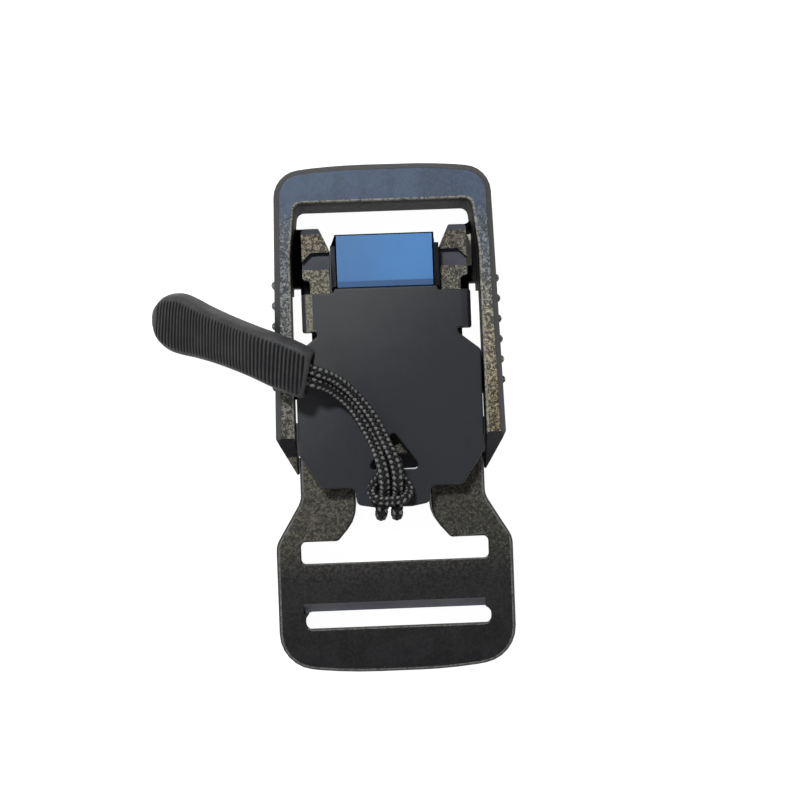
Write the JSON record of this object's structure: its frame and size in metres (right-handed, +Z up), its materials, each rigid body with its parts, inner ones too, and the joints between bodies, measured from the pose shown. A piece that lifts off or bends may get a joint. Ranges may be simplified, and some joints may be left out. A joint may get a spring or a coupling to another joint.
{
  "type": "magnetic buckle",
  "caption": "Magnetic side-frame buckle for webbing: a rectangular frame, a ladder lock half latched in it, and a release plate with a cord and a ribbed pull tab.",
  "frame": {"origin": "centre of the buckle's plan, on the surface that it lies on", "axes": "+X across the buckle, +Y along it towards the fixed strap slot in the frame, +Z up from the surface through the release plate"},
  "size_m": [0.051, 0.072, 0.0148],
  "materials": {
    "textured_nylon_frame": "fine speckled moulding grain",
    "textured_nylon_ladder": "fine speckled moulding grain",
    "carrier_plastic": "smooth",
    "blue_face": "smooth satin",
    "plate_satin": "smooth satin",
    "braided_cord": "tight round braid with light flecks",
    "tab_rubber": "fine cross ribs"
  },
  "bodies": {
    "root": {"frame": "textured_nylon_frame", "ladder_lock": "textured_nylon_ladder", "magnet_carrier": "carrier_plastic", "magnet_face": "blue_face", "release_plate": "plate_satin", "cord": "braided_cord", "pull_tab": "tab_rubber"}
  },
  "joints": []
}
